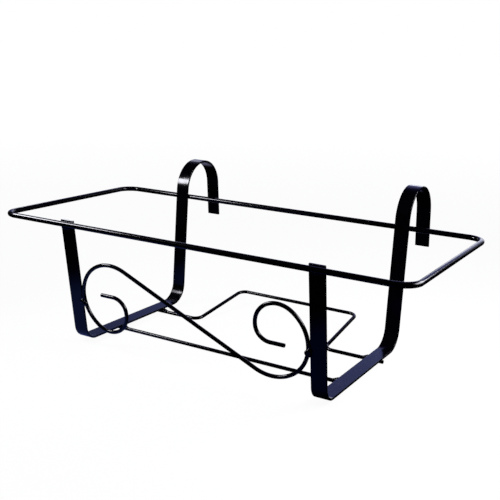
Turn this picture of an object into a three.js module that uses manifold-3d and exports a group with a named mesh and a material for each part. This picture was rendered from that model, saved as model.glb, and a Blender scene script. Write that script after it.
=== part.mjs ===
// Over-rail window box rack: a welded steel cradle that hooks over a balcony rail and carries a
// window box. Millimetres, +X to the right along the rail, +Y away from the viewer towards the
// rail, +Z up. The origin is the middle of the rack's footprint, on the surface it stands on.
//
// The rack is six bent pieces of stock, joined by ten short weld beads:
//   rim_wire                     a rectangle of 7 mm wire that holds the rim of the box
//   bracket_left, bracket_right  flat bars, each bent into a leg, a seat, an upright and a hook
//   front_base_wire              a straight 5 mm wire under both seats
//   rear_base_wire               a 5 mm wire bent into a stand-off that props the rack off the rail
//   scroll_wire                  a flat S of 5 mm wire, curled at both ends, between the legs

import * as THREE from 'three';
import { mergeVertices } from 'three/addons/utils/BufferGeometryUtils.js';
import Module from 'manifold-3d';

const wasm = await Module();
wasm.setup();

// ---------- driving dimensions ----------

const BAR_WIDTH = 20;
const BAR_THICKNESS = 3;
const RIM_WIRE_RADIUS = 3.5;
const THIN_WIRE_RADIUS = 2.5;
const CONTACT_GAP = 0.3; // left between pieces that touch

const RIM_LENGTH = 570; // between wire centres
const RIM_DEPTH = 262;
const RIM_CORNER_RADIUS = 22;
const RIM_HEIGHT = 161; // of the wire's centre, above the middle of the seats

const BRACKET_SPACING = 352; // between the middles of the two bars
const SEAT_FRONT_Y = 29.5; // where leg and seat would meet, behind the rim's front wire
const SEAT_REAR_Y = 248.5; // where seat and upright would meet
const LEG_ABOVE_RIM = 6;
const LEG_BEND_RADIUS = 19; // all bend radii are to the middle of the stock
const UPRIGHT_BEND_RADIUS = 26;
const HOOK_OPENING = 80; // the deepest rail that the hooks take
const HOOK_RISE = 10.5; // straight stretch of upright between rim and hook
const HOOK_TURN = 171; // degrees: the tail stays a little open
const HOOK_TAIL = 54;

const FRONT_WIRE_Y = 103;
const FRONT_WIRE_LENGTH = 356;
const REAR_WIRE_Y = 195.5;
const REAR_WIRE_LENGTH = 374; // from end to end, across the stand-off
const STAND_OFF_REACH = 117;
const STAND_OFF_FOOT_WIDTH = 204;
const STAND_OFF_TOE_WIDTH = 196;
const STAND_OFF_BEND_RADIUS = 12;
const STAND_OFF_TILT = 7.8; // degrees, rising towards the rail

const SCROLL_DROP = 96.4; // from the rim wire's centre down the leg to the scroll's middle
const SCROLL_SLOPE = 25.6; // degrees, of the straight stretch between the curls
const SCROLL_CURL = [[49.3, 168], [30.3, 136], [19, 82]]; // radius and turn, outside to inside
const SCROLL_TIP = 19;

const WIRE_SIDES = 12;
const FINE_STEP = 7.5; // degrees of bend between two rings of a wide curve
const COARSE_STEP = 15; // the same in a tight corner

// ---------- places worked out from them ----------

const rad = THREE.MathUtils.degToRad;

const BAR_HALF = BAR_THICKNESS / 2;
const BASE_WIRE_Z = -(BAR_HALF + CONTACT_GAP + THIN_WIRE_RADIUS);
const INNER_EDGE_X = BRACKET_SPACING / 2 - BAR_WIDTH / 2;

// The rim passes in front of the legs and behind the uprights.
const RIM_TO_BAR = RIM_WIRE_RADIUS + CONTACT_GAP + BAR_HALF;
const LEG_LEAN = Math.atan2(SEAT_FRONT_Y - RIM_TO_BAR, RIM_HEIGHT);
const UPRIGHT_LEAN = Math.atan2(RIM_DEPTH - RIM_TO_BAR - SEAT_REAR_Y, RIM_HEIGHT);

// ---------- bent stock ----------

// A planar line of straights and round bends. Its stations lie at the ends of each straight and
// every few degrees round each bend.
class BentLine extends THREE.Curve {
  constructor(x, y, heading, step = COARSE_STEP) {
    super();
    this.step = rad(step);
    this.position = new THREE.Vector2(x, y);
    this.heading = heading;
    this.stations = [];
    this.addStation();
  }

  addStation() {
    const tangent = new THREE.Vector2(Math.cos(this.heading), Math.sin(this.heading));
    this.stations.push({ point: this.position.clone(), tangent });
  }

  go(length) {
    const tangent = this.stations.at(-1).tangent;
    this.position.addScaledVector(tangent, length);
    this.addStation();
    return this;
  }

  // A positive turn bends to the left.
  bend(radius, turn) {
    const count = Math.ceil(Math.abs(turn) / this.step - 1e-6);
    const part = turn / count;
    const chord = 2 * radius * Math.sin(Math.abs(part) / 2);
    for (let i = 0; i < count; i += 1) {
      const course = this.heading + part / 2;
      this.position.x += chord * Math.cos(course);
      this.position.y += chord * Math.sin(course);
      this.heading += part;
      this.addStation();
    }
    return this;
  }

  getSpacedPoints() {
    return this.stations.map(({ point }) => new THREE.Vector3(point.x, point.y, 0));
  }

  getTangentAt(u) {
    const { tangent } = this.stations[Math.round(u * (this.stations.length - 1))];
    return new THREE.Vector3(tangent.x, tangent.y, 0);
  }
}

// How much of a straight a bend takes up on either side of its corner.
const setback = (radius, turn) => radius * Math.tan(Math.abs(turn) / 2);

// Round wire along a bent line, with square-cut ends.
function wireGeometry(line, radius) {
  const section = new THREE.Shape();
  for (let i = 0; i < WIRE_SIDES; i += 1) {
    const angle = (i / WIRE_SIDES) * 2 * Math.PI;
    const x = radius * Math.cos(angle);
    const y = radius * Math.sin(angle);
    if (i === 0) section.moveTo(x, y);
    else section.lineTo(x, y);
  }
  section.closePath();
  return new THREE.ExtrudeGeometry(section, {
    steps: line.stations.length - 1,
    extrudePath: line,
  });
}

// Flat bar bent along a line that runs through the middle of its thickness.
function barGeometry(line, thickness, width) {
  const side = (offset) => line.stations.map(({ point, tangent }) => new THREE.Vector2(
    point.x - tangent.y * offset,
    point.y + tangent.x * offset,
  ));
  const outline = [...side(-thickness / 2), ...side(thickness / 2).reverse()];
  const geometry = new THREE.ExtrudeGeometry(new THREE.Shape(outline), {
    depth: width,
    bevelEnabled: false,
  });
  return geometry.translate(0, 0, -width / 2);
}

// ---------- the lines of the pieces ----------

// From the top of the leg, down, along the seat, up and over into the hook's tail, drawn in the
// side view: first coordinate back, second up. Both ends can be lengthened.
function bracketLine(added = 0) {
  const legTurn = Math.PI / 2 - LEG_LEAN;
  const uprightTurn = Math.PI / 2 - UPRIGHT_LEAN;
  const legSetback = setback(LEG_BEND_RADIUS, legTurn);
  const uprightSetback = setback(UPRIGHT_BEND_RADIUS, uprightTurn);
  const leg = (RIM_HEIGHT + LEG_ABOVE_RIM) / Math.cos(LEG_LEAN) + added;
  const upright = (RIM_HEIGHT + HOOK_RISE) / Math.cos(UPRIGHT_LEAN);
  const topY = SEAT_FRONT_Y - leg * Math.sin(LEG_LEAN);
  const topZ = leg * Math.cos(LEG_LEAN);
  return new BentLine(topY, topZ, LEG_LEAN - Math.PI / 2, FINE_STEP)
    .go(leg - legSetback)
    .bend(LEG_BEND_RADIUS, legTurn)
    .go(SEAT_REAR_Y - SEAT_FRONT_Y - legSetback - uprightSetback)
    .bend(UPRIGHT_BEND_RADIUS, uprightTurn)
    .go(upright - uprightSetback)
    .bend(HOOK_OPENING / 2 + BAR_HALF, -rad(HOOK_TURN))
    .go(HOOK_TAIL + added);
}

// Seen from above. The two ends of the wire meet at the left upright, under its weld.
function rimLine() {
  const halfLength = RIM_LENGTH / 2 - RIM_CORNER_RADIUS;
  const sideLength = RIM_DEPTH - 2 * RIM_CORNER_RADIUS;
  const joint = -BRACKET_SPACING / 2;
  const line = new BentLine(joint + CONTACT_GAP / 2, RIM_DEPTH, 0);
  const quarter = -Math.PI / 2;
  return line
    .go(halfLength - joint - CONTACT_GAP / 2)
    .bend(RIM_CORNER_RADIUS, quarter)
    .go(sideLength)
    .bend(RIM_CORNER_RADIUS, quarter)
    .go(2 * halfLength)
    .bend(RIM_CORNER_RADIUS, quarter)
    .go(sideLength)
    .bend(RIM_CORNER_RADIUS, quarter)
    .go(halfLength + joint - CONTACT_GAP / 2);
}

// A short stretch across the joint.
const rimJointLine = () => new BentLine(-BRACKET_SPACING / 2 - 1, RIM_DEPTH, 0).go(2);

const frontWireLine = () => new BentLine(-FRONT_WIRE_LENGTH / 2, 0, 0).go(FRONT_WIRE_LENGTH);

// A hat: two feet in line under the seats, and a flat toe towards the rail.
function rearWireLine() {
  const step = (STAND_OFF_FOOT_WIDTH - STAND_OFF_TOE_WIDTH) / 2;
  const turn = Math.atan2(STAND_OFF_REACH, step);
  const shin = Math.hypot(STAND_OFF_REACH, step);
  const taken = setback(STAND_OFF_BEND_RADIUS, turn);
  const foot = (REAR_WIRE_LENGTH - STAND_OFF_FOOT_WIDTH) / 2 - taken;
  return new BentLine(-REAR_WIRE_LENGTH / 2, 0, 0)
    .go(foot)
    .bend(STAND_OFF_BEND_RADIUS, turn)
    .go(shin - 2 * taken)
    .bend(STAND_OFF_BEND_RADIUS, -turn)
    .go(STAND_OFF_TOE_WIDTH - 2 * taken)
    .bend(STAND_OFF_BEND_RADIUS, -turn)
    .go(shin - 2 * taken)
    .bend(STAND_OFF_BEND_RADIUS, turn)
    .go(foot);
}

// An S that looks the same turned half round. Each half runs from the middle up the slope, over
// the top and inwards through three tightening bends. The outer bend touches the leg's edge.
function scrollLine() {
  const slope = rad(SCROLL_SLOPE);
  const [outerRadius] = SCROLL_CURL[0];
  const reach = INNER_EDGE_X - CONTACT_GAP - THIN_WIRE_RADIUS;
  const straight = (reach - outerRadius * (1 + Math.sin(slope))) / Math.cos(slope);
  const half = new BentLine(0, 0, Math.PI - slope, FINE_STEP).go(straight);
  for (const [radius, turn] of SCROLL_CURL) half.bend(radius, rad(turn));
  half.go(SCROLL_TIP);

  const outward = half.stations.slice(1);
  const left = outward.map(({ point, tangent }) => (
    { point: point.clone(), tangent: tangent.clone().negate() })).reverse();
  const right = outward.map(({ point, tangent }) => (
    { point: point.clone().negate(), tangent: tangent.clone().negate() }));
  const line = new BentLine(0, 0, 0, FINE_STEP);
  line.stations = [...left, ...right];
  return line;
}

// ---------- places of the pieces, as matrices ----------

const turnAboutX = (angle) => new THREE.Matrix4().makeRotationX(angle);
const moveTo = (x, y, z) => new THREE.Matrix4().makeTranslation(x, y, z);

// From the side view's plane to the rack's: back, up and across.
const SIDE_VIEW = new THREE.Matrix4().makeBasis(
  new THREE.Vector3(0, 1, 0),
  new THREE.Vector3(0, 0, 1),
  new THREE.Vector3(1, 0, 0),
);

const bracketPlace = (side) => moveTo(side * BRACKET_SPACING / 2, 0, 0).multiply(SIDE_VIEW);
const rimPlace = () => moveTo(0, 0, RIM_HEIGHT);
const frontWirePlace = () => moveTo(0, FRONT_WIRE_Y, BASE_WIRE_Z);
const rearWirePlace = () => moveTo(0, REAR_WIRE_Y, BASE_WIRE_Z)
  .multiply(turnAboutX(rad(STAND_OFF_TILT)));

// A point of the leg, given by its distance down from the rim wire's centre.
function onLeg(drop) {
  return {
    y: RIM_TO_BAR + drop * Math.sin(LEG_LEAN),
    z: RIM_HEIGHT - drop * Math.cos(LEG_LEAN),
  };
}

function scrollPlace() {
  const { y, z } = onLeg(SCROLL_DROP);
  return moveTo(0, y, z).multiply(turnAboutX(Math.PI / 2 + LEG_LEAN));
}

// ---------- solids to join and cut ----------

function toSolid(geometry, place) {
  const bare = geometry.clone();
  bare.deleteAttribute('normal');
  bare.deleteAttribute('uv');
  bare.applyMatrix4(place);
  const merged = mergeVertices(bare, 1e-3);
  return new wasm.Manifold(new wasm.Mesh({
    numProp: 3,
    vertProperties: new Float32Array(merged.attributes.position.array),
    triVerts: new Uint32Array(merged.index.array),
  }));
}

function toGeometry(solid) {
  const mesh = solid.getMesh();
  const geometry = new THREE.BufferGeometry();
  geometry.setAttribute('position', new THREE.BufferAttribute(mesh.vertProperties, 3));
  geometry.setIndex(new THREE.BufferAttribute(mesh.triVerts, 1));
  geometry.computeVertexNormals();
  return geometry;
}

// The stock with the contact gap added all round, to cut the weld beads back to its surface.
const grown = {
  bracket: (side) => toSolid(
    barGeometry(bracketLine(CONTACT_GAP), BAR_THICKNESS + 2 * CONTACT_GAP, BAR_WIDTH + 2 * CONTACT_GAP),
    bracketPlace(side),
  ),
  rim: () => toSolid(wireGeometry(rimLine(), RIM_WIRE_RADIUS + CONTACT_GAP), rimPlace())
    .add(toSolid(wireGeometry(rimJointLine(), RIM_WIRE_RADIUS + CONTACT_GAP), rimPlace())),
  frontWire: () => toSolid(
    wireGeometry(frontWireLine(), THIN_WIRE_RADIUS + CONTACT_GAP),
    frontWirePlace(),
  ),
  rearWire: () => toSolid(
    wireGeometry(rearWireLine(), THIN_WIRE_RADIUS + CONTACT_GAP),
    rearWirePlace(),
  ),
  scroll: () => toSolid(
    wireGeometry(scrollLine(), THIN_WIRE_RADIUS + CONTACT_GAP),
    scrollPlace(),
  ),
};

// ---------- weld beads ----------

const DROP_SIDES = 12;
const DROP_RINGS = 8;

// One drop of weld metal: an ellipsoid with the given half sizes, turned about X.
function drop(x, y, z, halfX, halfY, halfZ, lean = 0) {
  const place = moveTo(x, y, z)
    .multiply(turnAboutX(lean))
    .multiply(new THREE.Matrix4().makeScale(halfX, halfY, halfZ));
  return toSolid(new THREE.SphereGeometry(1, DROP_SIDES, DROP_RINGS), place);
}

const join = (solids) => solids.reduce((a, b) => a.add(b));
const cut = (solid, tools) => tools.reduce((a, b) => a.subtract(b), solid);

// A row of overlapping drops along X in the groove where the rim wire crosses a bar, below it.
// The drops swell and thin a little, as a hand-laid bead does.
const RIM_BEAD_DROPS = 5;
const RIM_BEAD_PITCH = 3.3;
const RIM_BEAD_SIZE = 3.1;

function rimBead(side, y) {
  const drops = [];
  for (let i = 0; i < RIM_BEAD_DROPS; i += 1) {
    const along = (i - (RIM_BEAD_DROPS - 1) / 2) * RIM_BEAD_PITCH;
    const swell = 1 + 0.09 * Math.cos(2.4 * i + side);
    const x = side * BRACKET_SPACING / 2 + along;
    drops.push(drop(x, y, RIM_HEIGHT - 4.2, 2.7, RIM_BEAD_SIZE * swell, RIM_BEAD_SIZE * swell));
  }
  return drops;
}

function frontRimWeld(side) {
  return cut(join(rimBead(side, 2.8)), [grown.rim(), grown.bracket(side)]);
}

// On the left the bead also climbs the back of the wire, over the joint of its two ends.
function rearRimWeld(side) {
  const drops = rimBead(side, RIM_DEPTH - 2.4);
  const joint = -BRACKET_SPACING / 2;
  if (side < 0) {
    drops.push(drop(joint, RIM_DEPTH + 0.8, RIM_HEIGHT - 3.6, 3, 2.6, 2.2));
    drops.push(drop(joint, RIM_DEPTH + 2.9, RIM_HEIGHT - 1.6, 3, 2.1, 2.6));
    drops.push(drop(joint, RIM_DEPTH + 3.2, RIM_HEIGHT + 1.2, 2.6, 1.7, 2.2));
  }
  return cut(join(drops), [grown.rim(), grown.bracket(side)]);
}

// A blob between the scroll's outer bend and the inner edge of the leg, spread onto its face.
const SCROLL_WELD_DROP = 101;

function scrollWeld(side) {
  const { y, z } = onLeg(SCROLL_WELD_DROP);
  const x = side * (INNER_EDGE_X - 0.2);
  const front = BAR_HALF + 0.6;
  const drops = [
    drop(x, y - front, z + 1.6, 3.9, 2.5, 4.4, LEG_LEAN),
    drop(x + side * 0.7, y - front + 0.5, z - 2.8, 3.3, 2.4, 3.6, LEG_LEAN),
  ];
  return cut(join(drops), [grown.scroll(), grown.bracket(side)]);
}

// A fillet on top of a base wire, against the inner edge of the seat that it passes under.
function baseWeld(side, y, wire) {
  const x = side * INNER_EDGE_X;
  const top = BASE_WIRE_Z + THIN_WIRE_RADIUS;
  const drops = [
    drop(x - side * 1.4, y, top - 0.6, 3.8, 3.7, 2.9),
    drop(x - side * 5.2, y, top - 1.1, 4.2, 3.0, 2.2),
  ];
  return cut(join(drops), [wire, grown.bracket(side)]);
}

// ---------- the rack ----------

const enamel = (name, color) => new THREE.MeshStandardMaterial({
  name, color, roughness: 0.28, metalness: 0,
});
const BAR_ENAMEL = enamel('black_enamel_bar', 0x07080f);
const WIRE_ENAMEL = enamel('black_enamel_wire', 0x06070c);
const WELD_ENAMEL = enamel('black_enamel_weld', 0x08090f);

function piece(name, geometry, material, place = new THREE.Matrix4()) {
  const mesh = new THREE.Mesh(geometry, material);
  mesh.name = name;
  mesh.applyMatrix4(place);
  return mesh;
}

// Everything above is measured from the rim's front wire and the middle of the seats. The
// footprint runs from that wire's front to the back of the hooks' tails.
const bracketBack = Math.max(
  ...bracketLine().stations.map(({ point, tangent }) => point.x - tangent.y * BAR_HALF),
);
const assembly = new THREE.Group();
assembly.position.set(
  0,
  (RIM_WIRE_RADIUS - bracketBack) / 2,
  THIN_WIRE_RADIUS - BASE_WIRE_Z,
);

assembly.add(piece('rim_wire', wireGeometry(rimLine(), RIM_WIRE_RADIUS), WIRE_ENAMEL, rimPlace()));
assembly.add(piece(
  'front_base_wire',
  wireGeometry(frontWireLine(), THIN_WIRE_RADIUS),
  WIRE_ENAMEL,
  frontWirePlace(),
));
assembly.add(piece(
  'rear_base_wire',
  wireGeometry(rearWireLine(), THIN_WIRE_RADIUS),
  WIRE_ENAMEL,
  rearWirePlace(),
));
assembly.add(piece(
  'scroll_wire',
  wireGeometry(scrollLine(), THIN_WIRE_RADIUS),
  WIRE_ENAMEL,
  scrollPlace(),
));

for (const [word, side] of [['left', -1], ['right', 1]]) {
  const welds = {
    [`rim_weld_front_${word}`]: frontRimWeld(side),
    [`rim_weld_rear_${word}`]: rearRimWeld(side),
    [`scroll_weld_${word}`]: scrollWeld(side),
    [`front_wire_weld_${word}`]: baseWeld(side, FRONT_WIRE_Y, grown.frontWire()),
    [`rear_wire_weld_${word}`]: baseWeld(side, REAR_WIRE_Y, grown.rearWire()),
  };
  assembly.add(piece(
    `bracket_${word}`,
    barGeometry(bracketLine(), BAR_THICKNESS, BAR_WIDTH),
    BAR_ENAMEL,
    bracketPlace(side),
  ));
  for (const [name, solid] of Object.entries(welds)) {
    assembly.add(piece(name, toGeometry(solid), WELD_ENAMEL));
  }
}

const rack = new THREE.Group();
rack.add(assembly);

export default rack;
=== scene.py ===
"""The looks of an over-rail window box rack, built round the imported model.

The rack is bent black-enamelled steel: a rim of thick wire, two flat-bar brackets that end in rail
hooks, two thin base wires and a scroll, joined by hand-laid weld beads. Everything is in metres, in
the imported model's frame: +X to the right along the rail, +Y towards the rail, +Z up. Lengths of
the stock are written in millimetres and scaled by MM.
"""
import math

import bmesh
import bpy
from mathutils import Matrix, Vector


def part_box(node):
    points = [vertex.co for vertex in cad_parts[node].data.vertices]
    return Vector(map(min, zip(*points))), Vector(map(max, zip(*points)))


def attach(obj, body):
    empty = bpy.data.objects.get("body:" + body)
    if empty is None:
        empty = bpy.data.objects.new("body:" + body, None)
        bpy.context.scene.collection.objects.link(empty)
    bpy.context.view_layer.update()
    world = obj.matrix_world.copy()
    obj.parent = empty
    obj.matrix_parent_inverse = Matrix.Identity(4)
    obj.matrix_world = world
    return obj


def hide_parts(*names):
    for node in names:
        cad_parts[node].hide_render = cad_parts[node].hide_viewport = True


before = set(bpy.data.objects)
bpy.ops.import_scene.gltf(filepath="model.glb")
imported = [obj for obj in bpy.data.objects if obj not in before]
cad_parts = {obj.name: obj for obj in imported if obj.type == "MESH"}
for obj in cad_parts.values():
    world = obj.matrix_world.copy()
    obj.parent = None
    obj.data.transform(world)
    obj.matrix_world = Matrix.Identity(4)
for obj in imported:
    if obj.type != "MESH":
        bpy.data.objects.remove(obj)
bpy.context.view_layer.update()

MM = 0.001

# ---------- driving dimensions of the stock, in millimetres ----------

BAR_WIDTH = 20
BAR_THICKNESS = 3
BAR_EDGE = 0.55  # radius of the rolled edges
RIM_WIRE_RADIUS = 3.5
THIN_WIRE_RADIUS = 2.5
CUT_EDGE = 0.5  # radius to which enamel rounds the cut ends
SEATING = 0.3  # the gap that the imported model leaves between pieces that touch

RIM_LENGTH = 570
RIM_DEPTH = 262
RIM_CORNER_RADIUS = 22
RIM_HEIGHT = 161

BRACKET_SPACING = 352
SEAT_FRONT_Y = 29.5
SEAT_REAR_Y = 248.5
LEG_ABOVE_RIM = 5  # the height of the legs' ends over the middle of the rim wire
LEG_BEND_RADIUS = 19
UPRIGHT_BEND_RADIUS = 26
HOOK_OPENING = 80
HOOK_RISE = 10.47  # the height where a hook's bend starts, over the middle of the rim wire
HOOK_TURN = 171  # degrees
HOOK_TAIL = 54

FRONT_WIRE_Y = 103
FRONT_WIRE_LENGTH = 356
REAR_WIRE_Y = 195.5
REAR_WIRE_LENGTH = 374
STAND_OFF_REACH = 117
STAND_OFF_FOOT_WIDTH = 204
STAND_OFF_TOE_WIDTH = 196
STAND_OFF_BEND_RADIUS = 12
STAND_OFF_TILT = 7.8  # degrees, with the toe higher than the feet

SCROLL_DROP = 96.4  # down the legs, from the middle of the rim wire to the middle of the scroll
SCROLL_SLOPE = 25.6  # degrees
SCROLL_CURL = ((49.3, 168), (30.3, 136), (19, 82))  # each bend's radius, and its turn in degrees
SCROLL_TIP = 19

# ---------- places worked out from them ----------

BAR_HALF = BAR_THICKNESS / 2
BASE_WIRE_Z = -(BAR_HALF + SEATING + THIN_WIRE_RADIUS)
INNER_EDGE_X = (BRACKET_SPACING - BAR_WIDTH) / 2
RIM_TO_BAR = RIM_WIRE_RADIUS + SEATING + BAR_HALF
LEG_LEAN = math.atan2(SEAT_FRONT_Y - RIM_TO_BAR, RIM_HEIGHT)
UPRIGHT_LEAN = math.atan2(RIM_DEPTH - RIM_TO_BAR - SEAT_REAR_Y, RIM_HEIGHT)

# The stock is drawn from the middle of the rim's front wire and of the seats, then moved to where
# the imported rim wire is.
rim_low, rim_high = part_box("rim_wire")
ORIGIN = Vector((
    0,
    rim_low.y + RIM_WIRE_RADIUS * MM,
    (rim_low.z + rim_high.z) / 2 - RIM_HEIGHT * MM,
))


def to_frame(place):
    """A matrix in millimetres, drawn from the rim and the seats, as one in the frame's metres."""
    return Matrix.Translation(ORIGIN) @ Matrix.Scale(MM, 4) @ place


# ---------- bent stock ----------

ARC_STEP = math.radians(3)
WIRE_FACETS = 32
BAR_EDGE_FACETS = 5
CUT_EDGE_FACETS = 4
SHARP_ABOVE = math.radians(40)


class BentLine:
    """A flat line of straights and round bends, as stations of a place and a direction."""

    def __init__(self, x, y, heading):
        self.x, self.y, self.heading = x, y, heading
        self.stations = []
        self.mark()

    def mark(self):
        direction = (math.cos(self.heading), math.sin(self.heading))
        self.stations.append(((self.x, self.y), direction))

    def go(self, length):
        self.x += length * math.cos(self.heading)
        self.y += length * math.sin(self.heading)
        self.mark()
        return self

    def bend(self, radius, turn):
        """A positive turn bends to the left."""
        count = max(2, math.ceil(abs(turn) / ARC_STEP))
        part = turn / count
        chord = 2 * radius * math.sin(abs(part) / 2)
        for _ in range(count):
            self.x += chord * math.cos(self.heading + part / 2)
            self.y += chord * math.sin(self.heading + part / 2)
            self.heading += part
            self.mark()
        return self


def setback(radius, turn):
    return radius * math.tan(abs(turn) / 2)


def arc(centre_x, centre_y, radius, start, stop, count):
    """Points along an arc, with both ends."""
    angles = [start + (stop - start) * i / count for i in range(count + 1)]
    return [(centre_x + radius * math.cos(a), centre_y + radius * math.sin(a)) for a in angles]


def wire_section(radius):
    """The wire's round outline, drawn in by an inset near its cut ends."""
    def outline(inset):
        return arc(0, 0, radius - inset, 0, 2 * math.pi, WIRE_FACETS)[:-1]
    return outline


def bar_section(thickness, width, corner):
    """The bar's outline with rolled edges, drawn in by an inset near its cut ends."""
    def outline(inset):
        half_u = thickness / 2 - inset
        half_v = width / 2 - inset
        points = []
        for quarter in range(4):
            u = (half_u - corner) * (1, -1, -1, 1)[quarter]
            v = (half_v - corner) * (1, 1, -1, -1)[quarter]
            start = quarter * math.pi / 2
            points += arc(u, v, corner, start, start + math.pi / 2, BAR_EDGE_FACETS)
        return points
    return outline


def cut_end(station, inward):
    """Rings from a cut end to the full stock; inward is 1 at a line's start and -1 at its end."""
    (x, y), (dx, dy) = station
    quarter = arc(CUT_EDGE, CUT_EDGE, CUT_EDGE, math.pi, 1.5 * math.pi, CUT_EDGE_FACETS)
    rings = []
    for back, inset in quarter:
        place = (x + dx * inward * back, y + dy * inward * back)
        rings.append((place, (dx, dy), inset))
    return rings


def sweep(name, line, outline, place):
    """Stock of one outline along a line, with rounded cut ends, as a new object in the frame."""
    rings = cut_end(line.stations[0], 1)
    rings += [(point, direction, 0) for point, direction in line.stations[1:-1]]
    rings += reversed(cut_end(line.stations[-1], -1))

    mesh = bmesh.new()
    matrix = to_frame(place)
    loops = []
    for (x, y), (dx, dy), inset in rings:
        # The outline's first coordinate lies to the left of the line, its second off the plane.
        loops.append([
            mesh.verts.new(matrix @ Vector((x - dy * u, y + dx * u, v)))
            for u, v in outline(inset)
        ])
    for near, far in zip(loops, loops[1:]):
        for i in range(len(near)):
            j = (i + 1) % len(near)
            mesh.faces.new((near[i], near[j], far[j], far[i]))
    mesh.faces.new(loops[0][::-1])
    mesh.faces.new(loops[-1])
    bmesh.ops.recalc_face_normals(mesh, faces=mesh.faces)
    return to_object(name, mesh)


def to_object(name, mesh):
    data = bpy.data.meshes.new(name)
    mesh.to_mesh(data)
    mesh.free()
    made = bpy.data.objects.new(name, data)
    bpy.context.scene.collection.objects.link(made)
    return made


def shade(piece):
    """Smooth shading that keeps flat faces flat and cut edges crisp."""
    piece.data.shade_smooth()
    piece.data.set_sharp_from_angle(angle=SHARP_ABOVE)
    weighted = piece.modifiers.new("flat_faces", "WEIGHTED_NORMAL")
    weighted.keep_sharp = True


# ---------- the lines of the pieces ----------

SIDE_VIEW = Matrix(((0, 0, 1, 0), (1, 0, 0, 0), (0, 1, 0, 0), (0, 0, 0, 1)))


def bracket_line():
    """Down the leg, along the seat, up and over into the hook's tail, in the side view."""
    leg_turn = math.pi / 2 - LEG_LEAN
    upright_turn = math.pi / 2 - UPRIGHT_LEAN
    leg_taken = setback(LEG_BEND_RADIUS, leg_turn)
    upright_taken = setback(UPRIGHT_BEND_RADIUS, upright_turn)
    leg = (RIM_HEIGHT + LEG_ABOVE_RIM) / math.cos(LEG_LEAN)
    upright = (RIM_HEIGHT + HOOK_RISE) / math.cos(UPRIGHT_LEAN)
    top_y = SEAT_FRONT_Y - leg * math.sin(LEG_LEAN)
    top_z = leg * math.cos(LEG_LEAN)
    return (
        BentLine(top_y, top_z, LEG_LEAN - math.pi / 2)
        .go(leg - leg_taken)
        .bend(LEG_BEND_RADIUS, leg_turn)
        .go(SEAT_REAR_Y - SEAT_FRONT_Y - leg_taken - upright_taken)
        .bend(UPRIGHT_BEND_RADIUS, upright_turn)
        .go(upright - upright_taken)
        .bend(HOOK_OPENING / 2 + BAR_HALF, -math.radians(HOOK_TURN))
        .go(HOOK_TAIL)
    )


def rim_line():
    """Seen from above, from the butt joint at the left upright all the way round to it."""
    half_length = RIM_LENGTH / 2 - RIM_CORNER_RADIUS
    side = RIM_DEPTH - 2 * RIM_CORNER_RADIUS
    joint = -BRACKET_SPACING / 2
    line = BentLine(joint + SEATING / 2, RIM_DEPTH, 0).go(half_length - joint - SEATING / 2)
    for stretch in (side, 2 * half_length, side, half_length + joint - SEATING / 2):
        line.bend(RIM_CORNER_RADIUS, -math.pi / 2).go(stretch)
    return line


def rear_wire_line():
    """Two feet in line under the seats, and a flat toe between them towards the rail."""
    step = (STAND_OFF_FOOT_WIDTH - STAND_OFF_TOE_WIDTH) / 2
    turn = math.atan2(STAND_OFF_REACH, step)
    shin = math.hypot(STAND_OFF_REACH, step)
    taken = setback(STAND_OFF_BEND_RADIUS, turn)
    foot = (REAR_WIRE_LENGTH - STAND_OFF_FOOT_WIDTH) / 2 - taken
    line = BentLine(-REAR_WIRE_LENGTH / 2, 0, 0).go(foot)
    line.bend(STAND_OFF_BEND_RADIUS, turn).go(shin - 2 * taken)
    line.bend(STAND_OFF_BEND_RADIUS, -turn).go(STAND_OFF_TOE_WIDTH - 2 * taken)
    line.bend(STAND_OFF_BEND_RADIUS, -turn).go(shin - 2 * taken)
    return line.bend(STAND_OFF_BEND_RADIUS, turn).go(foot)


def scroll_line():
    """An S that looks the same turned half round, its curls tightening in three bends."""
    slope = math.radians(SCROLL_SLOPE)
    outer_radius = SCROLL_CURL[0][0]
    reach = INNER_EDGE_X - SEATING - THIN_WIRE_RADIUS
    straight = (reach - outer_radius * (1 + math.sin(slope))) / math.cos(slope)
    half = BentLine(0, 0, math.pi - slope).go(straight)
    for radius, turn in SCROLL_CURL:
        half.bend(radius, math.radians(turn))
    half.go(SCROLL_TIP)
    outward = half.stations[1:]
    left = [((x, y), (-dx, -dy)) for (x, y), (dx, dy) in reversed(outward)]
    right = [((-x, -y), (-dx, -dy)) for (x, y), (dx, dy) in outward]
    half.stations = left + right
    return half


def on_leg(drop):
    """A point of the leg, by its distance down from the rim wire's centre."""
    y = RIM_TO_BAR + drop * math.sin(LEG_LEAN)
    return Vector((0, y, RIM_HEIGHT - drop * math.cos(LEG_LEAN)))


# ---------- finishes ----------

ENAMEL_IOR = 1.5
# Noise in the enamel: its scale, its octaves and, where it isn't 0.5, its roughness.
TINT_NOISE = (45, 3)
GLOSS_NOISE = (130, 4, 0.6)
SAG_NOISE = (60, 1)
PEEL_NOISE = (620, 2)
# The part of the noise's range that is spread over all of the tint and of the gloss.
TINT_RANGE = (0.35, 0.68)
GLOSS_RANGE = (0.3, 0.7)


def node(tree, kind, **settings):
    made = tree.nodes.new(kind)
    for name, value in settings.items():
        setattr(made, name, value)
    return made


def noise(tree, position, scale, detail, roughness=0.5):
    made = node(tree, "ShaderNodeTexNoise")
    made.inputs["Scale"].default_value = scale
    made.inputs["Detail"].default_value = detail
    made.inputs["Roughness"].default_value = roughness
    tree.links.new(position, made.inputs["Vector"])
    return made.outputs["Fac"]


def span(tree, value, low, high, out_low=0, out_high=1, form="LINEAR"):
    """A value between low and high, moved between two others; low may be the larger."""
    made = node(tree, "ShaderNodeMapRange", interpolation_type=form)
    tree.links.new(value, made.inputs["Value"])
    limits = {"From Min": low, "From Max": high, "To Min": out_low, "To Max": out_high}
    for name, number in limits.items():
        made.inputs[name].default_value = number
    return made.outputs["Result"]


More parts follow.
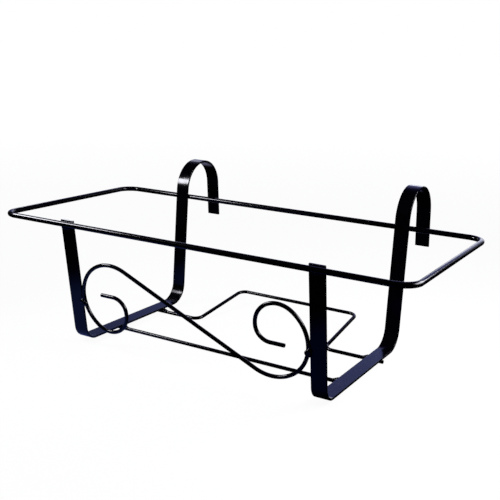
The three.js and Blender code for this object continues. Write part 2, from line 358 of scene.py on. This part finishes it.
def soft_step(tree, value, low, high):
    """Zero at low, one at high, and a smooth rise between."""
    return span(tree, value, low, high, form="SMOOTHSTEP")


def blend_colours(tree, factor, colour_a, colour_b):
    made = node(tree, "ShaderNodeMix", data_type="RGBA")
    tree.links.new(factor, made.inputs["Factor"])
    made.inputs["A"].default_value = (*colour_a, 1)
    made.inputs["B"].default_value = (*colour_b, 1)
    return made.outputs["Result"]


def bump(tree, height, distance, normal=None):
    made = node(tree, "ShaderNodeBump")
    made.inputs["Distance"].default_value = distance
    tree.links.new(height, made.inputs["Height"])
    if normal is not None:
        tree.links.new(normal, made.inputs["Normal"])
    return made.outputs["Normal"]


def enamel(name, deep, thin, gloss, peel, sag):
    """Stoved black enamel: navy where it lies thin, with orange peel and slow sags in its gloss.

    gloss is the lowest and highest roughness. peel and sag are heights in metres.
    """
    made = bpy.data.materials.new(name)
    made.use_nodes = True
    tree = made.node_tree
    shader = tree.nodes["Principled BSDF"]
    position = node(tree, "ShaderNodeTexCoord").outputs["Object"]

    cloud = noise(tree, position, *TINT_NOISE)
    tint = blend_colours(tree, span(tree, cloud, *TINT_RANGE), deep, thin)
    tree.links.new(tint, shader.inputs["Base Color"])

    smear = noise(tree, position, *GLOSS_NOISE)
    tree.links.new(span(tree, smear, *GLOSS_RANGE, *gloss), shader.inputs["Roughness"])

    slow = bump(tree, noise(tree, position, *SAG_NOISE), sag)
    fine = bump(tree, noise(tree, position, *PEEL_NOISE), peel, slow)
    tree.links.new(fine, shader.inputs["Normal"])

    shader.inputs["IOR"].default_value = ENAMEL_IOR
    return made


BAR_ENAMEL = enamel(
    "bar_enamel",
    deep=(0.0004, 0.0004, 0.0010),
    thin=(0.0010, 0.0010, 0.0024),
    gloss=(0.12, 0.19),
    peel=0.000004,
    sag=0.00008,
)
WIRE_ENAMEL = enamel(
    "wire_enamel",
    deep=(0.0004, 0.0004, 0.0009),
    thin=(0.0010, 0.0010, 0.0020),
    gloss=(0.11, 0.19),
    peel=0.0000025,
    sag=0.00003,
)
WELD_ENAMEL = enamel(
    "weld_enamel",
    deep=(0.0005, 0.0005, 0.0010),
    thin=(0.0014, 0.0014, 0.0026),
    gloss=(0.08, 0.16),
    peel=0.000015,
    sag=0.0001,
)


def dress(piece, material, slot, *replaced):
    piece.data.materials.clear()
    piece.data.materials.append(material)
    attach(piece, "root")
    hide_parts(*replaced)


# ---------- bars and wires ----------


def make_brackets():
    outline = bar_section(BAR_THICKNESS, BAR_WIDTH, BAR_EDGE)
    for word, side in (("left", -1), ("right", 1)):
        place = Matrix.Translation((side * BRACKET_SPACING / 2, 0, 0)) @ SIDE_VIEW
        piece = sweep(f"bar_{word}", bracket_line(), outline, place)
        shade(piece)
        dress(piece, BAR_ENAMEL, "enamel_bar", f"bracket_{word}")


def make_wires():
    thick = wire_section(RIM_WIRE_RADIUS)
    thin = wire_section(THIN_WIRE_RADIUS)
    tilt = Matrix.Rotation(math.radians(STAND_OFF_TILT), 4, "X")
    upright_plane = Matrix.Rotation(math.pi / 2 + LEG_LEAN, 4, "X")
    front_line = BentLine(-FRONT_WIRE_LENGTH / 2, 0, 0).go(FRONT_WIRE_LENGTH)
    wires = (
        ("rim", "rim_wire", rim_line(), thick, Matrix.Translation((0, 0, RIM_HEIGHT))),
        ("base_front", "front_base_wire", front_line, thin,
         Matrix.Translation((0, FRONT_WIRE_Y, BASE_WIRE_Z))),
        ("base_rear", "rear_base_wire", rear_wire_line(), thin,
         Matrix.Translation((0, REAR_WIRE_Y, BASE_WIRE_Z)) @ tilt),
        ("scroll", "scroll_wire", scroll_line(), thin,
         Matrix.Translation(on_leg(SCROLL_DROP)) @ upright_plane),
    )
    for name, cad_node, line, outline, place in wires:
        piece = sweep(name, line, outline, place)
        shade(piece)
        dress(piece, WIRE_ENAMEL, "enamel_wire", cad_node)


# ---------- weld beads ----------

DROP_SUBDIVISIONS = 3
WELD_VOXEL = 0.00028  # metres
WELD_SMOOTH_FACTOR = 0.5
WELD_SMOOTH_ROUNDS = 4

# A bead along the rim wire is a row of drops of uneven size, smaller towards both ends.
BEAD_DROPS = 5
BEAD_PITCH = 2.6
DROP_ALONG = 1.75  # half sizes of a drop, along the row and across it
DROP_ACROSS = 3.1
BEAD_BELOW_RIM = 4.2
FRONT_BEAD_Y = 2.8
REAR_BEAD_Y = RIM_DEPTH - 2.4
BEAD_RIPPLE = 0.09
BEAD_RIPPLE_PHASE = 2.4
BEAD_SHRINK = 0.035
BEAD_LEAN = 0.25
BEAD_LEAN_PHASE = 1.9

# The other drops are listed one by one, and their half sizes come last.
JOINT_DROPS = (  # back and up from the rear wire's middle
    ((0.8, -3.6), (3, 2.6, 2.2)),
    ((2.8, -1.6), (3, 2.1, 2.6)),
    ((3.1, 1.2), (2.6, 1.7, 2.2)),
)
SCROLL_WELD_DROP = {-1: 107.5, 1: 103}  # down the legs, by side; the left one lies lower
SCROLL_DROPS = (  # inward from the leg's inner edge, forward of its face, and further down it
    ((0.6, 0.0, -8.0), (2.0, 1.5, 4.5)),
    ((0.6, 0.9, -1.8), (3.8, 2.7, 3.6)),
    ((1.4, 0.8, 2.2), (4.2, 2.5, 3.2)),
    ((3.6, 0.0, 0.6), (3.4, 3.3, 3.6)),
)
BASE_DROPS = (  # inward from the seat's inner edge, back, and up from the top of the wire
    ((0.9, 0, 0), (3.0, 3.6, 3.0)),
    ((3.9, 0.3, -0.8), (2.8, 3.2, 2.4)),
    ((6.7, -0.2, -1.3), (2.6, 2.9, 1.8)),
)


def weld(name, drops):
    """Drops of weld metal that run into each other, each a centre, its half sizes and a lean."""
    mesh = bmesh.new()
    for centre, half_sizes, lean in drops:
        place = Matrix.Translation(centre) @ Matrix.Rotation(lean, 4, "X")
        matrix = to_frame(place @ Matrix.Diagonal((*half_sizes, 1)))
        bmesh.ops.create_icosphere(mesh, subdivisions=DROP_SUBDIVISIONS, radius=1, matrix=matrix)
    piece = to_object(name, mesh)
    fused = piece.modifiers.new("fused", "REMESH")
    fused.mode = "VOXEL"
    fused.voxel_size = WELD_VOXEL
    fused.use_smooth_shade = True
    flowed = piece.modifiers.new("flowed", "SMOOTH")
    flowed.factor = WELD_SMOOTH_FACTOR
    flowed.iterations = WELD_SMOOTH_ROUNDS
    return piece


def bead_drops(side, y):
    """A row along X in the groove where the rim wire crosses a bar, below the wire."""
    drops = []
    for i in range(BEAD_DROPS):
        step = i - (BEAD_DROPS - 1) / 2
        ripple = BEAD_RIPPLE * math.cos(BEAD_RIPPLE_PHASE * i + side)
        swell = 1 + ripple - BEAD_SHRINK * step * step
        along, across = DROP_ALONG * swell, DROP_ACROSS * swell
        x = side * BRACKET_SPACING / 2 + step * BEAD_PITCH
        centre = Vector((x, y, RIM_HEIGHT - BEAD_BELOW_RIM))
        lean = BEAD_LEAN * math.sin(BEAD_LEAN_PHASE * i)
        drops.append((centre, (along, across, across), lean))
    return drops


def rear_bead_drops(side):
    """On the left the bead also climbs the back of the wire, over the joint of its two ends."""
    drops = bead_drops(side, REAR_BEAD_Y)
    if side < 0:
        wire = Vector((side * BRACKET_SPACING / 2, RIM_DEPTH, RIM_HEIGHT))
        drops += [
            (wire + Vector((0, back, up)), half_sizes, 0)
            for (back, up), half_sizes in JOINT_DROPS
        ]
    return drops


def scroll_drops(side):
    """A lump over the scroll and the inner edge of the leg, and a run of metal up their joint."""
    drops = []
    for (inward, forward, further), half_sizes in SCROLL_DROPS:
        joint = on_leg(SCROLL_WELD_DROP[side] + further)
        centre = joint + Vector((side * (INNER_EDGE_X - inward), -BAR_HALF - forward, 0))
        drops.append((centre, half_sizes, LEG_LEAN))
    return drops


def base_drops(side, y):
    """A fillet on top of a base wire, against the inner edge of the seat that it passes under."""
    edge = Vector((side * INNER_EDGE_X, y, BASE_WIRE_Z + THIN_WIRE_RADIUS))
    return [
        (edge + Vector((-side * inward, back, up)), half_sizes, 0)
        for (inward, back, up), half_sizes in BASE_DROPS
    ]


def make_welds():
    for word, side in (("left", -1), ("right", 1)):
        welds = (
            ("bead_rim_front", "rim_weld_front", bead_drops(side, FRONT_BEAD_Y)),
            ("bead_rim_rear", "rim_weld_rear", rear_bead_drops(side)),
            ("bead_scroll", "scroll_weld", scroll_drops(side)),
            ("bead_base_front", "front_wire_weld", base_drops(side, FRONT_WIRE_Y)),
            ("bead_base_rear", "rear_wire_weld", base_drops(side, REAR_WIRE_Y)),
        )
        for name, cad_node, drops in welds:
            piece = weld(f"{name}_{word}", drops)
            dress(piece, WELD_ENAMEL, "enamel_weld", f"{cad_node}_{word}")


make_brackets()
make_wires()
make_welds()

# ---------- floor, light and camera ----------

FLOOR_HALF = 30
FLOOR_COLOUR = (0.07, 0.07, 0.07)  # dark, because most of its white is glow
FLOOR_GLOW_NEAR = 0.94
FLOOR_GLOW_FAR = 1.0
GLOW_FROM = 0.8  # metres from the rack where the floor's glow starts to rise
GLOW_TO = 3.5
ROOM = (0.34, 0.35, 0.38)  # even light of the room

# What the enamel mirrors: a dusk-blue backdrop behind the rack, white at its foot, and elsewhere
# the dark of the room, with painted pools of light on the floor in front of the feet and behind the
# hooks, which glow only in reflections. An edge is given as where the light ends and where it is
# full.
DUSK_BY_HEIGHT = (  # sine of the angle above level, and the colour
    (0.230, (0.18, 0.21, 0.52)),
    (0.340, (0.20, 0.24, 0.66)),
    (0.400, (0.13, 0.16, 0.52)),
    (0.450, (0.34, 0.34, 0.70)),
    (0.530, (0.26, 0.25, 0.56)),
    (0.602, (0.14, 0.13, 0.35)),
    (0.682, (0.05, 0.045, 0.16)),
    (0.743, (0.02, 0.018, 0.09)),
    (0.866, (0, 0, 0)),
)
DUSK_RIGHT_EDGE = (19, 8)  # degrees from +Y, positive to the right
DUSK_LEFT_EDGE = (-62, -22)
WHITE_STRENGTH = 1.1
WHITE_UPPER_EDGE = (0.26, 0.20)  # sines of the angle above level
WHITE_LEFT_EDGE = (-34, -25)
# Painted light: patches of the floor that glow only to glossy rays, so that the enamel shows them
# as painted reflections.
PAINTED_LIGHT_POOLS = (  # place, edge as distances from it, colour
    ((-0.20, -0.17, 0), (0.18, 0.09), (0.05, 0.08, 0.32)),
    ((0.15, -0.23, 0), (0.10, 0.05), (0.006, 0.016, 0.12)),
    ((-0.36, 0.33, 0), (0.13, 0.05), (0.34, 0.34, 0.54)),
    ((0.09, 0.33, 0), (0.11, 0.04), (0.20, 0.20, 0.42)),
)
BLACK = (0, 0, 0)
WHITE = (1, 1, 1)


def math_node(tree, operation, left, right):
    made = node(tree, "ShaderNodeMath", operation=operation)
    for socket, value in zip(made.inputs, (left, right)):
        if isinstance(value, (int, float)):
            socket.default_value = value
        else:
            tree.links.new(value, socket)
    return made.outputs[0]


def product(tree, first, *others):
    so_far = first
    for value in others:
        so_far = math_node(tree, "MULTIPLY", so_far, value)
    return so_far


def mirrored_ray(tree, path):
    """One for rays that left a glossy or a clear surface."""
    glossy = path.outputs["Is Glossy Ray"]
    clear = path.outputs["Is Transmission Ray"]
    return math_node(tree, "MAXIMUM", glossy, clear)


def total(tree, colours):
    """The sum of several colours."""
    so_far = colours[0]
    for colour in colours[1:]:
        made = node(tree, "ShaderNodeVectorMath", operation="ADD")
        tree.links.new(so_far, made.inputs[0])
        tree.links.new(colour, made.inputs[1])
        so_far = made.outputs["Vector"]
    return so_far


def scaled(tree, colour, factor):
    made = node(tree, "ShaderNodeVectorMath", operation="SCALE")
    tree.links.new(colour, made.inputs[0])
    tree.links.new(factor, made.inputs["Scale"])
    return made.outputs["Vector"]


def distance(tree, position, centre):
    made = node(tree, "ShaderNodeVectorMath", operation="DISTANCE")
    tree.links.new(position, made.inputs[0])
    made.inputs[1].default_value = centre
    return made.outputs["Value"]


def pale_to_camera(tree, position, path):
    """A dark matt surface with a glow that only the camera sees, rising away from the rack."""
    away = distance(tree, position, (0, 0, 0))
    glow = span(tree, away, GLOW_FROM, GLOW_TO, FLOOR_GLOW_NEAR, FLOOR_GLOW_FAR)
    strength = product(tree, glow, path.outputs["Is Camera Ray"])
    light = node(tree, "ShaderNodeEmission")
    tree.links.new(strength, light.inputs["Strength"])
    matt = node(tree, "ShaderNodeBsdfDiffuse")
    matt.inputs["Color"].default_value = (*FLOOR_COLOUR, 1)
    pale = node(tree, "ShaderNodeAddShader")
    tree.links.new(light.outputs[0], pale.inputs[0])
    tree.links.new(matt.outputs[0], pale.inputs[1])
    return pale


# Painted light: glowing patches of floor, seen only in reflections.
def painted_light_pools(tree, position):
    colours = []
    for place, edge, colour in PAINTED_LIGHT_POOLS:
        share = soft_step(tree, distance(tree, position, place), *edge)
        colours.append(blend_colours(tree, share, BLACK, colour))
    painted_pools = node(tree, "ShaderNodeEmission")
    tree.links.new(total(tree, colours), painted_pools.inputs["Color"])
    return painted_pools


def make_floor():
    """Pale to the camera, and dark to glossy surfaces, with painted pools of light that glow only
    there.
    """
    mesh = bmesh.new()
    bmesh.ops.create_grid(mesh, x_segments=1, y_segments=1, size=FLOOR_HALF)
    floor = to_object("floor", mesh)
    material = bpy.data.materials.new("pale_floor")
    material.use_nodes = True
    tree = material.node_tree
    tree.nodes.clear()
    position = node(tree, "ShaderNodeTexCoord").outputs["Object"]
    path = node(tree, "ShaderNodeLightPath")
    pale = pale_to_camera(tree, position, path)
    painted_pools = painted_light_pools(tree, position)

    surface = node(tree, "ShaderNodeMixShader")
    tree.links.new(mirrored_ray(tree, path), surface.inputs["Fac"])
    tree.links.new(pale.outputs[0], surface.inputs[1])
    tree.links.new(painted_pools.outputs[0], surface.inputs[2])
    output = node(tree, "ShaderNodeOutputMaterial")
    tree.links.new(surface.outputs[0], output.inputs["Surface"])
    floor.data.materials.append(material)


def mirrored_backdrop(tree):
    """The colour of the backdrop in a direction, by its height and its two ends."""
    direction = node(tree, "ShaderNodeSeparateXYZ")
    tree.links.new(node(tree, "ShaderNodeTexCoord").outputs["Generated"], direction.inputs[0])
    height = direction.outputs["Z"]
    azimuth = math_node(tree, "ARCTAN2", direction.outputs["X"], direction.outputs["Y"])

    def end(edge):
        return soft_step(tree, azimuth, *(math.radians(a) for a in edge))

    by_height = node(tree, "ShaderNodeValToRGB")
    tree.links.new(height, by_height.inputs["Fac"])
    ramp = by_height.color_ramp
    ramp.elements.remove(ramp.elements[0])
    for i, (place, colour) in enumerate(DUSK_BY_HEIGHT):
        stop = ramp.elements[0] if i == 0 else ramp.elements.new(place)
        stop.position = place
        stop.color = (*colour, 1)
    right_end = end(DUSK_RIGHT_EDGE)
    dusk_share = product(tree, right_end, end(DUSK_LEFT_EDGE))
    dusk = scaled(tree, by_height.outputs["Color"], dusk_share)

    foot = soft_step(tree, height, *WHITE_UPPER_EDGE)
    white = product(tree, right_end, end(WHITE_LEFT_EDGE), foot, WHITE_STRENGTH)
    return total(tree, [dusk, white])


def make_world():
    """White to the camera, an even dim room to matt surfaces, and the backdrop to glossy ones."""
    world = bpy.data.worlds.new("studio")
    bpy.context.scene.world = world
    world.use_nodes = True
    tree = world.node_tree
    tree.nodes.clear()
    path = node(tree, "ShaderNodeLightPath")
    lit = node(tree, "ShaderNodeMix", data_type="RGBA")
    tree.links.new(mirrored_ray(tree, path), lit.inputs["Factor"])
    lit.inputs["A"].default_value = (*ROOM, 1)
    tree.links.new(mirrored_backdrop(tree), lit.inputs["B"])
    colour = node(tree, "ShaderNodeMix", data_type="RGBA")
    tree.links.new(path.outputs["Is Camera Ray"], colour.inputs["Factor"])
    tree.links.new(lit.outputs["Result"], colour.inputs["A"])
    colour.inputs["B"].default_value = (*WHITE, 1)
    background = node(tree, "ShaderNodeBackground")
    tree.links.new(colour.outputs["Result"], background.inputs["Color"])
    output = node(tree, "ShaderNodeOutputWorld")
    tree.links.new(background.outputs[0], output.inputs["Surface"])


# The first softbox leans over the left front corner, the second stands off the right front corner,
# two narrow ones behind the rack light the tops of the hooks and the rim's right side, and a small
# weak one on the left lights the cut end of the left leg.
LAMP_COLOUR = (0.92, 0.92, 1.0)
SOFTBOXES = (  # name, place, aim, width and height, watts
    ("softbox_left", (-0.470, -0.328, 0.463), (88.1, 9.3, -37.0), (0.12, 0.334), 3.2),
    ("softbox_right", (0.551, 0.100, 0.382), (-128.0, -27.0, 0.0), (0.50, 0.22), 3.4),
    ("backlight_left", (-0.353, 0.37, 0.35), (144.0, -10.0, 0.0), (0.175, 0.11), 0.06),
    ("backlight_right", (0.17, 0.71, 0.355), (180.0, -10.0, 0.0), (0.42, 0.11), 0.20),
    ("end_light", (-0.845, 0.449, 0.583), (132.8, -24.4, 0.0), (0.20, 0.14), 0.45),
)

# The camera stands in front of the rack's right half and looks down on it to the left.
CAMERA_PLACE = (0.53871, -0.93242, 0.39693)
CAMERA_AIM = (-30.22, -14.04, 1.94)
CAMERA_LENS = 59.44  # millimetres, like the sensor's width
CAMERA_SENSOR = 36


def aimed(place, aim):
    """The matrix of a lamp or a camera at a place, which looks along its own -Z.

    aim is in degrees: from +Y to the right, above level, and about its own axis.
    """
    yaw, pitch, roll = (math.radians(angle) for angle in aim)
    ahead = Vector((
        math.sin(yaw) * math.cos(pitch),
        math.cos(yaw) * math.cos(pitch),
        math.sin(pitch),
    ))
    right = Vector((math.cos(yaw), -math.sin(yaw), 0))
    up = right.cross(ahead)
    axes = Matrix((
        right * math.cos(roll) + up * math.sin(roll),
        up * math.cos(roll) - right * math.sin(roll),
        -ahead,
    ))
    return Matrix.Translation(place) @ axes.transposed().to_4x4()


def softbox(name, place, aim, size, watts):
    data = bpy.data.lights.new(name, "AREA")
    data.shape = "RECTANGLE"
    data.size, data.size_y = size
    data.energy = watts
    data.color = LAMP_COLOUR
    lamp = bpy.data.objects.new(name, data)
    lamp.matrix_world = aimed(place, aim)
    lamp.visible_camera = False
    bpy.context.scene.collection.objects.link(lamp)


def make_camera():
    data = bpy.data.cameras.new("photo_camera")
    data.lens = CAMERA_LENS
    data.sensor_width = CAMERA_SENSOR
    camera = bpy.data.objects.new("photo_camera", data)
    camera.matrix_world = aimed(CAMERA_PLACE, CAMERA_AIM)
    bpy.context.scene.collection.objects.link(camera)
    bpy.context.scene.camera = camera


make_floor()
make_world()
for settings in SOFTBOXES:
    softbox(*settings)
make_camera()
bpy.context.scene.view_settings.view_transform = "Standard"
